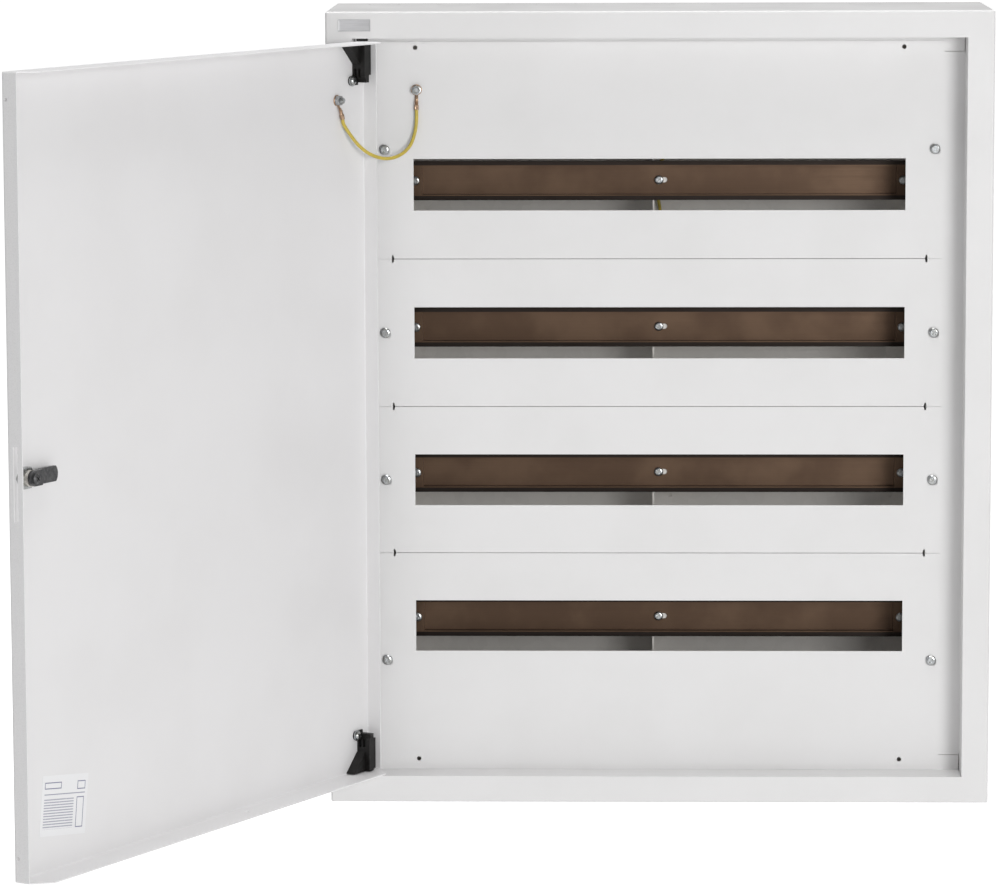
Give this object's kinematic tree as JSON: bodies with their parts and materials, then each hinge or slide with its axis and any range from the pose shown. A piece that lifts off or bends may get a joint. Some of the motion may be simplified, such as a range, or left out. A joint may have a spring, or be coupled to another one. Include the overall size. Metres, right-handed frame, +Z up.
{
  "type": "industrial switchboard cabinet",
  "caption": "Wall-mounted sheet-steel switchboard cabinet with a hinged door on pins, a cam lock, screwed cover plates with device cut-outs, top-hat rails, terminal bars and earth bonding.",
  "frame": {"origin": "centre of the four wall fixing holes, on the back face", "axes": "+Z up, +Y from the front towards the wall, +X to the right when facing the front"},
  "size_m": [0.8063, 0.6287, 0.7],
  "materials": {
    "white_powder_coat": "fine satin powder coat",
    "white_textured_coat": "textured powder coat",
    "grey_zinc_coat": "galvanised sheet",
    "rail_steel": "zinc plated, dull brown-grey",
    "zinc_steel": "bright zinc plated",
    "dark_steel": "dark plated",
    "black_plastic": "matte moulded",
    "nickel_plate": "nickel plated",
    "copper": "bare copper crimp",
    "brass_bar": "bright brass",
    "green_yellow_wire": "green-yellow insulation",
    "green_plastic": "moulded",
    "blue_plastic": "moulded",
    "printed_label": "paper label",
    "silver_plate": "satin"
  },
  "bodies": {
    "cabinet": {"body_shell": "white_powder_coat", "back_panel": "grey_zinc_coat", "support_left": "grey_zinc_coat", "support_right": "grey_zinc_coat", "support_middle": "grey_zinc_coat", "support_rivets": "dark_steel", "rail_1": "rail_steel", "rail_2": "rail_steel", "rail_3": "rail_steel", "rail_4": "rail_steel", "rail_screws": "zinc_steel", "cover_top": "white_powder_coat", "cover_upper": "white_powder_coat", "cover_lower": "white_powder_coat", "cover_bottom": "white_powder_coat", "cover_screws": "zinc_steel", "cover_nuts": "zinc_steel", "pivot_bush_top": "black_plastic", "pivot_bush_bottom": "black_plastic", "nameplate": "silver_plate", "cover_earth_stud": "zinc_steel", "cover_earth_nut": "zinc_steel", "cover_ring_lug": "copper", "bonding_lead": "green_yellow_wire", "chassis_earth_stud": "zinc_steel", "chassis_earth_nut": "zinc_steel", "chassis_ring_lug": "copper", "inside_earth_wire": "green_yellow_wire", "earth_bar": "brass_bar", "earth_bar_screws": "zinc_steel", "earth_bar_holders": "green_plastic", "neutral_bar": "brass_bar", "neutral_bar_screws": "zinc_steel", "neutral_bar_holders": "blue_plastic"},
    "door": {"door_panel": "white_textured_coat", "door_label": "printed_label", "hinge_block_top": "black_plastic", "hinge_block_bottom": "black_plastic", "hinge_pin_top": "zinc_steel", "hinge_pin_bottom": "zinc_steel", "hinge_screws": "zinc_steel", "lock_barrel": "nickel_plate", "lock_nut": "zinc_steel", "door_earth_stud": "zinc_steel", "door_earth_nut": "zinc_steel", "door_ring_lug": "copper"},
    "lock_cam_set": {"lock_plug": "nickel_plate", "lock_cam": "dark_steel", "cam_screw": "dark_steel"}
  },
  "joints": [
    {"name": "door_hinge", "type": "hinge", "parent": "cabinet", "child": "door", "pos_m": [-0.2588, -0.166, 0], "axis": [0, 0, -1], "range_deg": [-119, 6], "deforming": ["bonding_lead"]},
    {"name": "lock_turn", "type": "hinge", "parent": "door", "child": "lock_cam_set", "pos_m": [-0.50005, -0.60886, 0.002], "axis": [-0.8746, 0.4848, 0], "range_deg": [0, 180]}
  ]
}
